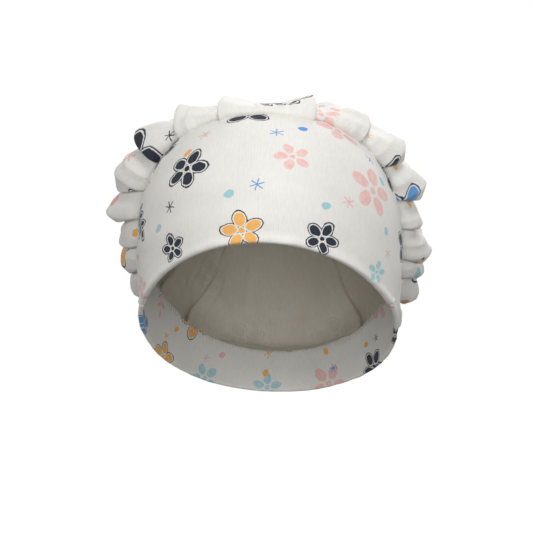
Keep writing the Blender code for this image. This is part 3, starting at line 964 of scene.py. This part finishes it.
# %% [markdown]
# ## Print
#
# The cloth carries an all-over print of open five-petal blossoms, leafy sprigs, small stars and dots in
# navy, pink, blue, orange and pale teal. A picture of it would have to be drawn by hand and would blur in
# close views, so it is drawn by arithmetic on the flat cloth, in millimetres. The cloth is divided into
# bricks. Each brick holds one large motif, and each corner between bricks holds a star and a dot. A white
# noise is a dice that gives the same throw for the same brick: it picks place, turn, size and colour.

# %% Bricks
BRICK = (44.0, 38.0)
PLACE_JITTER = (6.0, 5.0)

scatter, given = new_group(
    "scattered_bricks",
    {"Place": "Vector", "Seed": "Float"},
    {"Local": "Vector", "Size": "Float", "Colour": "Float", "Kind": "Float"},
)
parts = add_node(scatter, "ShaderNodeSeparateXYZ", [given.outputs["Place"]])
course = add_node(scatter, MATH, [parts.outputs["Y"], BRICK[1]], operation="DIVIDE")
course = add_node(scatter, MATH, [course], operation="FLOOR")
odd = add_node(scatter, MATH, [course, 2.0], operation="FLOORED_MODULO")
half_brick = add_node(scatter, MATH, [odd, BRICK[0] / 2], operation="MULTIPLY")
shift = add_node(scatter, "ShaderNodeCombineXYZ", {"X": half_brick})
moved = add_node(scatter, VECTOR_MATH, [given.outputs["Place"], shift], operation="ADD")
counted = add_node(scatter, VECTOR_MATH, [moved, BRICK + (1.0,)], operation="DIVIDE")
brick = add_node(scatter, VECTOR_MATH, [counted], operation="FLOOR")
share = add_node(scatter, VECTOR_MATH, [counted], operation="FRACTION")
print("Brick in mm:", BRICK)

# %% Throws of the dice
SECOND_DICE = 17.3

# From the share of the brick to millimetres from its motif, which lies up to half the jitter off its middle
middle = [(jitter - size) / 2 for size, jitter in zip(BRICK, PLACE_JITTER)] + [0.0]
dice = add_node(scatter, "ShaderNodeTexWhiteNoise", {"Vector": brick, "W": given.outputs["Seed"]},
                noise_dimensions="4D")
inside = add_node(scatter, VECTOR_MATH, [share, BRICK + (0.0,), middle], operation="MULTIPLY_ADD")
back_by = (-PLACE_JITTER[0], -PLACE_JITTER[1], 0.0)
inside = add_node(scatter, VECTOR_MATH, [dice.outputs["Color"], back_by, inside], operation="MULTIPLY_ADD")
turn = add_node(scatter, MATH, [dice, 2 * math.pi], operation="MULTIPLY")
turned = add_node(scatter, "ShaderNodeVectorRotate", {"Vector": inside, "Angle": turn},
                  rotation_type="Z_AXIS")
other_seed = add_node(scatter, MATH, [given.outputs["Seed"], SECOND_DICE], operation="ADD")
dice = add_node(scatter, "ShaderNodeTexWhiteNoise", {"Vector": brick, "W": other_seed},
                noise_dimensions="4D")
picks = add_node(scatter, "ShaderNodeSeparateColor", [dice.outputs["Color"]])
add_node(scatter, "NodeGroupOutput", {
    "Local": turned,
    "Size": picks.outputs["Red"],
    "Colour": picks.outputs["Green"],
    "Kind": picks.outputs["Blue"],
})
print("Motifs lie off their bricks' middles by up to, in mm:", [size / 2 for size in PLACE_JITTER])

# %% [markdown]
# ### Forms as distances
#
# Every motif is a distance: how far a place lies outside its edge, in millimetres. Ink lies where the
# distance is below nothing, and a fine outline a little outside it. The angle round a motif's middle is
# folded back and forth, so that one ellipse gives all petals of a blossom, and one ray a whole star.

# %% Folding and ellipses


def folded_polar(tree, local, folds):
    """Distance from the middle, the place in a sector folded onto its own axis, and how far off it."""
    xy = add_node(tree, "ShaderNodeSeparateXYZ", [local])
    reach = add_node(tree, VECTOR_MATH, [local], operation="LENGTH").outputs["Value"]
    angle = add_node(tree, MATH, [xy.outputs["Y"], xy.outputs["X"]], operation="ARCTAN2")
    angle = add_node(tree, MATH, [angle, math.pi / folds], operation="PINGPONG")
    cosine = add_node(tree, MATH, [angle], operation="COSINE")
    sine = add_node(tree, MATH, [angle], operation="SINE")
    along_axis = add_node(tree, MATH, [reach, cosine], operation="MULTIPLY")
    off_axis = add_node(tree, MATH, [reach, sine], operation="MULTIPLY")
    return reach, add_node(tree, "ShaderNodeCombineXYZ", {"X": along_axis, "Y": off_axis}), off_axis


def ellipse(tree, local, middle, radii):
    """Roughly the distance from an ellipse's edge, below nothing inside it."""
    centred = add_node(tree, VECTOR_MATH, [local, middle + (0.0,)], operation="SUBTRACT")
    rounded = add_node(tree, VECTOR_MATH, [centred, radii + (1.0,)], operation="DIVIDE")
    size = add_node(tree, VECTOR_MATH, [rounded], operation="LENGTH").outputs["Value"]
    beyond = add_node(tree, MATH, [size, 1.0], operation="SUBTRACT")
    return add_node(tree, MATH, [beyond, min(radii)], operation="MULTIPLY")


# The hand of the drawing: every place is read a little beside itself, so edges wander
WANDER = 1.3
LARGE_SEED, SMALL_SEED = 4.0, 9.0

motifs, given = new_group("blossom_print", {"Place": "Vector"}, {"Colour": "Color", "Ink": "Float"})
cloth = given.outputs["Place"]
wander = add_node(motifs, "ShaderNodeTexNoise", {"Vector": cloth, "Scale": 0.35, "Detail": 1.0})
drawn = add_node(motifs, VECTOR_MATH, [wander.outputs["Color"], (WANDER, WANDER, 0.0), cloth],
                 operation="MULTIPLY_ADD")
large = add_node(motifs, "ShaderNodeGroup", {"Place": drawn, "Seed": LARGE_SEED}, node_tree=scatter)
print("Edges wander to each side by up to, in mm:", WANDER / 2)

# %% [markdown]
# ### Blossoms and sprigs
#
# A blossom is five petals and a round middle. It is worked out at size one, so the brick's own size only
# has to scale it. A sprig is a thin stem with pairs of leaves. Its length is wrapped round, as a repeat
# on wallpaper, so that one leaf stands for every pair, and a last leaf sits at the tip.

# %% Blossoms
SMALLEST_BLOSSOM = 7.6
BLOSSOM_RANGE = 7.2
PETAL_MIDDLE, PETAL_RADII = (0.62, 0.0), (0.37, 0.26)
HEART_RADIUS = 0.15

size = add_node(motifs, MATH, [large.outputs["Size"], BLOSSOM_RANGE, SMALLEST_BLOSSOM],
                operation="MULTIPLY_ADD")
shrink = add_node(motifs, MATH, [1.0, size], operation="DIVIDE")
unscaled = add_node(motifs, VECTOR_MATH, {0: large.outputs["Local"], "Scale": shrink}, operation="SCALE")
reach, petal_place, _ = folded_polar(motifs, unscaled, 5)
petals = ellipse(motifs, petal_place, PETAL_MIDDLE, PETAL_RADII)
heart = add_node(motifs, MATH, [reach, HEART_RADIUS], operation="SUBTRACT")
blossom = add_node(motifs, MATH, [petals, heart], operation="MINIMUM")
blossom = add_node(motifs, MATH, [blossom, size], operation="MULTIPLY")
print("Blossoms in mm:", 2 * SMALLEST_BLOSSOM, "to", 2 * (SMALLEST_BLOSSOM + BLOSSOM_RANGE))

# %% Sprigs
SPRIG_HALF_LENGTH = 10.8
STEM_HALF_WIDTH = 0.32
LEAF_SPACING = 7.2
LEAF_START = 2.6
LEAF_ANGLE = math.radians(-48)
LEAF_MIDDLE, LEAF_RADII = (3.6, 0.0), (3.0, 1.35)
TIP_LEAF_MIDDLE, TIP_LEAF_RADII = (SPRIG_HALF_LENGTH + 2.6, 0.0), (2.9, 1.3)
FAR_AWAY = 5.0
SPRIGS_FROM = 0.76

xy = add_node(motifs, "ShaderNodeSeparateXYZ", [large.outputs["Local"]])
beside = add_node(motifs, MATH, [xy.outputs["Y"]], operation="ABSOLUTE")
along = add_node(motifs, MATH, [xy.outputs["X"]], operation="ABSOLUTE")
past_end = add_node(motifs, MATH, [along, SPRIG_HALF_LENGTH], operation="SUBTRACT")
off_stem = add_node(motifs, MATH, [beside, STEM_HALF_WIDTH], operation="SUBTRACT")
stem = add_node(motifs, MATH, [off_stem, past_end], operation="MAXIMUM")
wrapped = add_node(motifs, MATH, [xy.outputs["X"], -LEAF_SPACING / 2, LEAF_SPACING / 2], operation="WRAP")
from_root = add_node(motifs, MATH, [wrapped, LEAF_START], operation="ADD")
leaf_place = add_node(motifs, "ShaderNodeCombineXYZ", {"X": from_root, "Y": beside})
leaf_place = add_node(motifs, "ShaderNodeVectorRotate", {"Vector": leaf_place, "Angle": LEAF_ANGLE},
                      rotation_type="Z_AXIS")
leaves = ellipse(motifs, leaf_place, LEAF_MIDDLE, LEAF_RADII)
outside = add_node(motifs, MATH, [along, SPRIG_HALF_LENGTH], operation="GREATER_THAN")
leaves = add_node(motifs, MATH, [outside, FAR_AWAY, leaves], operation="MULTIPLY_ADD")
tip_leaf = ellipse(motifs, large.outputs["Local"], TIP_LEAF_MIDDLE, TIP_LEAF_RADII)
sprig = add_node(motifs, MATH, [stem, leaves], operation="MINIMUM")
sprig = add_node(motifs, MATH, [sprig, tip_leaf], operation="MINIMUM")

is_sprig = add_node(motifs, MATH, [large.outputs["Kind"], SPRIGS_FROM], operation="GREATER_THAN")
large_motif = add_node(motifs, "ShaderNodeMix", {"Factor": is_sprig, "A": blossom, "B": sprig})
print("Share of sprigs:", round(1 - SPRIGS_FROM, 2))

# %% [markdown]
# ### Stars and dots
#
# The small motifs lie where the corners of four bricks meet, which is as far as a place can be from the
# large ones. So the same scatter is read again, half a brick further on. The star stands to one side of
# that place and the dot to the other.

# %% Stars and dots
STAR_REACH = 3.3
RAY_HALF_WIDTH = 0.3
DOT_RADII = (2.5, 1.9)
SMALL_APART = 6.5

corners = add_node(motifs, VECTOR_MATH, [drawn, (BRICK[0] / 2, BRICK[1] / 2, 0.0)], operation="ADD")
small = add_node(motifs, "ShaderNodeGroup", {"Place": corners, "Seed": SMALL_SEED}, node_tree=scatter)
star_place = add_node(motifs, VECTOR_MATH, [small.outputs["Local"], (SMALL_APART, 0.0, 0.0)],
                      operation="SUBTRACT")
star_reach, _, off_ray = folded_polar(motifs, star_place, 6)
past_ray = add_node(motifs, MATH, [star_reach, STAR_REACH], operation="SUBTRACT")
beside_ray = add_node(motifs, MATH, [off_ray, RAY_HALF_WIDTH], operation="SUBTRACT")
star = add_node(motifs, MATH, [beside_ray, past_ray], operation="MAXIMUM")
dot = ellipse(motifs, small.outputs["Local"], (-SMALL_APART, 0.0), DOT_RADII)
print("Stars across in mm:", 2 * STAR_REACH)

# %% [markdown]
# ### Inks
#
# The inks are flat and matt. The dark and bright blossoms have a fine navy outline with a gap of bare
# cloth, and the pale ones have none: they look brushed on, thinner in some places than in others. A
# colour ramp with hard steps turns the throw of the dice into one of a few inks.

# %% Where ink lies
OUTLINED_BELOW = 0.58
OUTLINE_GAP = 0.85
OUTLINE_HALF_WIDTH = 0.30
EDGE_SOFTNESS = 0.16
THINNEST_BRUSH = 0.62

from_outline = add_node(motifs, MATH, [large_motif, OUTLINE_GAP], operation="SUBTRACT")
from_outline = add_node(motifs, MATH, [from_outline], operation="ABSOLUTE")
from_outline = add_node(motifs, MATH, [from_outline, OUTLINE_HALF_WIDTH], operation="SUBTRACT")
fill, outline, star_ink, dot_ink = [
    add_node(motifs, "ShaderNodeMapRange",
             {"Value": distance, "From Min": EDGE_SOFTNESS, "From Max": -EDGE_SOFTNESS},
             interpolation_type="SMOOTHSTEP")
    for distance in (large_motif, from_outline, star, dot)
]
outlined = add_node(motifs, MATH, [large.outputs["Colour"], OUTLINED_BELOW], operation="LESS_THAN")
outline = add_node(motifs, MATH, [outline, outlined], operation="MULTIPLY")
brushed = add_node(motifs, "ShaderNodeTexNoise", {"Vector": cloth, "Scale": 0.4, "Detail": 3.0})
brushed = add_node(motifs, "ShaderNodeMapRange", {
    "Value": brushed, "From Min": 0.38, "From Max": 0.58, "To Min": THINNEST_BRUSH, "To Max": 1.0})
brushed = add_node(motifs, MATH, [brushed, outlined], operation="MAXIMUM")
fill = add_node(motifs, MATH, [fill, brushed], operation="MULTIPLY")
print("Outline in mm:", 2 * OUTLINE_HALF_WIDTH, "wide")

# %% Mixing the inks
NAVY, PINK, SKY, ORANGE, TEAL, MUSTARD = "162232", "efbdb8", "5d9cd6", "f3b560", "9fd0d8", "e2b42f"
# Each ink with the throw of the dice from which it is taken
LARGE_INKS = ((0.0, NAVY), (0.32, SKY), (0.45, ORANGE), (0.58, PINK), (0.88, TEAL))
STAR_INKS = ((0.0, NAVY), (0.4, MUSTARD), (0.6, PINK), (0.8, SKY))
DOT_INKS = ((0.0, ORANGE), (0.35, TEAL), (0.65, PINK), (0.9, SKY))

picked = []
for throw, inks in ((large.outputs["Colour"], LARGE_INKS), (small.outputs["Colour"], STAR_INKS),
                    (small.outputs["Kind"], DOT_INKS)):
    ramp = add_node(motifs, "ShaderNodeValToRGB", [throw])
    stops = ramp.color_ramp.elements
    ramp.color_ramp.interpolation = "CONSTANT"
    while len(stops) < len(inks):
        stops.new(0.5)
    for stop, (start, code) in zip(stops, inks):
        stop.position = start
        stop.color = linear(code)
    picked.append(ramp.outputs["Color"])

colour, cover = picked[0], fill
for ink, ink_colour in ((outline, linear(NAVY)), (star_ink, picked[1]), (dot_ink, picked[2])):
    mixed = add_node(motifs, "ShaderNodeMix", {"Factor": ink, 6: colour, 7: ink_colour}, data_type="RGBA")
    colour = mixed.outputs[2]
    cover = add_node(motifs, MATH, [cover, ink], operation="MAXIMUM")
add_node(motifs, "NodeGroupOutput", {"Colour": colour, "Ink": cover})
print("Nodes in the print:", len(motifs.nodes))

# %% [markdown]
# ## Cloth materials
#
# All pieces are the same off-white cotton jersey, so one function makes the materials. The face has the
# print. The reverse has none, only a creamier tone and a trace of it showing through. Each piece starts
# its print somewhere else on the roll, as cut pieces do.

# %% Cloth materials
MM_PER_METRE = 1000.0
YARN_STREAK = (0.9, 0.22, 1.0)
BUMP_HEIGHT = 0.00011
BUMP_STRENGTH = 0.6


def jersey(name, cloth_code, start, ink_cover):
    """Matt cotton jersey: a fine rib with painted shade in its grooves, a slight mottle, soft sheen at
    grazing light, printed ink.
    """
    material, shader = new_material(name, {
        "Roughness": 0.88,
        "Specular IOR Level": 0.25,
        "Sheen Weight": 0.07,
        "Sheen Roughness": 0.45,
    })
    tree = material.node_tree
    place = add_node(tree, "ShaderNodeUVMap", uv_map="cloth")
    place = add_node(tree, VECTOR_MATH, {0: place, "Scale": MM_PER_METRE}, operation="SCALE")
    place = add_node(tree, VECTOR_MATH, [place, start + (0.0,)], operation="ADD")
    ink = add_node(tree, "ShaderNodeGroup", {"Place": place}, node_tree=motifs)
    rib = add_node(tree, "ShaderNodeGroup", {"Place": place}, node_tree=knit)

    # Yarn takes up dye and ink unevenly: soft clouds, small specks along the wales; painted shade darkens
    # the knit's grooves
    clouds = add_node(tree, "ShaderNodeTexNoise", {"Vector": place, "Scale": 0.05, "Detail": 3.0})
    streaks = add_node(tree, VECTOR_MATH, [place, YARN_STREAK], operation="MULTIPLY")
    specks = add_node(tree, "ShaderNodeTexNoise", {"Vector": streaks, "Scale": 1.0, "Detail": 2.0})
    mottle_and_groove_shade = 1.0
    for pattern, share, least in ((clouds, 0.10, 0.90), (specks, 0.14, 0.93), (rib, 0.03, 0.97)):
        part = add_node(tree, MATH, [pattern, share, least], operation="MULTIPLY_ADD")
        mottle_and_groove_shade = add_node(tree, MATH, [part, mottle_and_groove_shade], operation="MULTIPLY")
    cover = add_node(tree, MATH, [ink.outputs["Ink"], ink_cover], operation="MULTIPLY")
    dyed = add_node(tree, "ShaderNodeMix",
                    {"Factor": cover, 6: linear(cloth_code), 7: ink.outputs["Colour"]}, data_type="RGBA")
    toned = add_node(tree, VECTOR_MATH, {0: dyed.outputs[2], "Scale": mottle_and_groove_shade}, operation="SCALE")
    bump = add_node(tree, "ShaderNodeBump",
                    {"Height": rib, "Distance": BUMP_HEIGHT, "Strength": BUMP_STRENGTH})
    tree.links.new(toned.outputs[0], shader.inputs["Base Color"])
    tree.links.new(bump.outputs[0], shader.inputs["Normal"])
    return material


# Printed face: off-white with clear ink. Reverse: creamier, with the faintest ghost of the print
FACE_COLOUR, REVERSE_COLOUR = "eae8e3", "ebe5d8"
FACE_INK, REVERSE_INK = 0.98, 0.10
for piece, name, colour_code, start, ink_cover in (
    (front_band, "printed_cotton_jersey_front", FACE_COLOUR, (295.0, 160.0), FACE_INK),
    (back_band, "printed_cotton_jersey_back", FACE_COLOUR, (14.0, -60.0), FACE_INK),
    (crown, "printed_cotton_jersey_bag", FACE_COLOUR, (17.0, 5.0), FACE_INK),
    (crown, "cotton_jersey_reverse", REVERSE_COLOUR, (17.0, 5.0), REVERSE_INK),
):
    piece.data.materials.append(jersey(name, colour_code, start, ink_cover))
print("Materials:", [material.name for material in bpy.data.materials if "jersey" in material.name])

# %% [markdown]
# ## Overlock stitches
#
# Inside the cap an overlock machine has sewn every seam and wrapped its edge in thread, which shows as a
# narrow zigzag beside the seam. Nobody would place some hundreds of stitches by hand, and a texture would
# lie flat, but the rule is simple: a line cut into even steps, every other point pushed to the other side,
# and a thin round tube along it. Geometry Nodes follow that rule. The seams are handed over as plain
# lines, and each of their points stores the direction across the seam.

# %% Lines beside the seams
STITCHES_BELOW_SEAM = 0.0022
STITCHES_INSIDE = 0.0005
SIDE_SEAM_START, SIDE_SEAM_END = 0.009, 0.95
ROUND_POINTS, SIDE_POINTS = 601, 40


def seam_line(points, shift):
    """Points on the inner face beside a seam, and the direction across it at each."""
    ahead = unit(np.gradient(points, axis=0))
    across = unit(np.cross(head_normal(points), ahead))
    beside = onto_head(points + shift * across)
    return beside - STITCHES_INSIDE * head_normal(beside), across


lines = [seam_line(along_ring(SEAM, np.linspace(-1, 1, ROUND_POINTS)), -STITCHES_BELOW_SEAM)]
for side in (-1, 1):
    low_end = along_ring(RIM, np.array([side * side_rim]))
    high_end = along_ring(SEAM, np.array([side * side_top]))
    start = SIDE_SEAM_START / np.linalg.norm(high_end - low_end)
    share = np.linspace(start, SIDE_SEAM_END, SIDE_POINTS)[:, None]
    side_seam = onto_head(low_end * (1 - share) + high_end * share)
    lines.append(seam_line(side_seam, side * STITCHES_BELOW_SEAM))
print("Seam lines:", len(lines))

# %% Mesh of the lines
starts = np.cumsum([0] + [len(points) for points, _ in lines])
edges = [(k, k + 1) for start, end in zip(starts[:-1], starts[1:]) for k in range(start, end - 1)]
line_data = bpy.data.meshes.new("seam_lines")
line_data.from_pydata(np.concatenate([points for points, _ in lines]).tolist(), edges, [])
crossings = np.concatenate([across for _, across in lines]).astype(np.float32)
line_data.attributes.new("across", "FLOAT_VECTOR", "POINT").data.foreach_set("vector", crossings.ravel())
seam_lines = new_object("seam_lines", line_data)
print("Points of the seam lines:", len(line_data.vertices))

# %% Stitches by Geometry Nodes
# Spun polyester thread: a little brighter and smoother than the cotton, so single stitches catch light
thread, _ = new_material("polyester_thread", {
    "Base Color": linear("f1eee6"),
    "Roughness": 0.5,
    "Sheen Weight": 0.2,
})
STITCH_SIZES = {"Step": 0.0013, "Width": 0.0030, "Thread Radius": 0.00019}
THREAD_SIDES = 6

zigzag = bpy.data.node_groups.new("zigzag_stitches", "GeometryNodeTree")
zigzag.interface.new_socket("Seams", in_out="INPUT", socket_type="NodeSocketGeometry")
sockets = {name: zigzag.interface.new_socket(name, in_out="INPUT", socket_type="NodeSocketFloat")
           for name in STITCH_SIZES}
zigzag.interface.new_socket("Stitches", in_out="OUTPUT", socket_type="NodeSocketGeometry")
given = zigzag.nodes.new("NodeGroupInput")
curve = add_node(zigzag, "GeometryNodeMeshToCurve", {"Mesh": given.outputs["Seams"]})
stepped = add_node(zigzag, "GeometryNodeResampleCurve",
                   {"Curve": curve, "Length": given.outputs["Step"]}, mode="LENGTH")
number = add_node(zigzag, "GeometryNodeInputIndex")
parity = add_node(zigzag, MATH, [number, 2.0], operation="MODULO")
side = add_node(zigzag, MATH, [parity, 0.5], operation="SUBTRACT")
reach = add_node(zigzag, MATH, [side, given.outputs["Width"]], operation="MULTIPLY")
direction = add_node(zigzag, "GeometryNodeInputNamedAttribute", {"Name": "across"},
                     data_type="FLOAT_VECTOR")
shift = add_node(zigzag, VECTOR_MATH, {0: direction, "Scale": reach}, operation="SCALE")
moved = add_node(zigzag, "GeometryNodeSetPosition", {"Geometry": stepped, "Offset": shift})
strand = add_node(zigzag, "GeometryNodeCurvePrimitiveCircle",
                  {"Resolution": THREAD_SIDES, "Radius": given.outputs["Thread Radius"]})
tube = add_node(zigzag, "GeometryNodeCurveToMesh",
                {"Curve": moved, "Profile Curve": strand, "Fill Caps": True})
real = add_node(zigzag, "GeometryNodeRealizeInstances", {"Geometry": tube})
finished = add_node(zigzag, "GeometryNodeSetMaterial", {"Geometry": real, "Material": thread})
add_node(zigzag, "NodeGroupOutput", {"Stitches": finished})
print("Nodes in the stitches:", len(zigzag.nodes))

# %% From lines to thread
sewing = seam_lines.modifiers.new("zigzag stitches", "NODES")
sewing.node_group = zigzag
for name, size in STITCH_SIZES.items():
    sewing[sockets[name].identifier] = size
sewn = seam_lines.evaluated_get(bpy.context.evaluated_depsgraph_get())
stitches = new_object("seam_stitches", bpy.data.meshes.new_from_object(sewn))
seam_lines.modifiers.remove(sewing)
bpy.data.objects.remove(seam_lines)
print("Stitches' faces:", len(stitches.data.polygons), "material:", stitches.data.materials[0].name)

# %% [markdown]
# ## Handing the pieces over
#
# Each piece stands for its plain solid and moves with the cap.

for piece, node, slot in (
    (front_band, "front_band", "front_band"),
    (back_band, "back_band", "back_band"),
    (crown, "crown", "crown"),
):
    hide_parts(node)
    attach(piece, "root")
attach(stitches, "root")
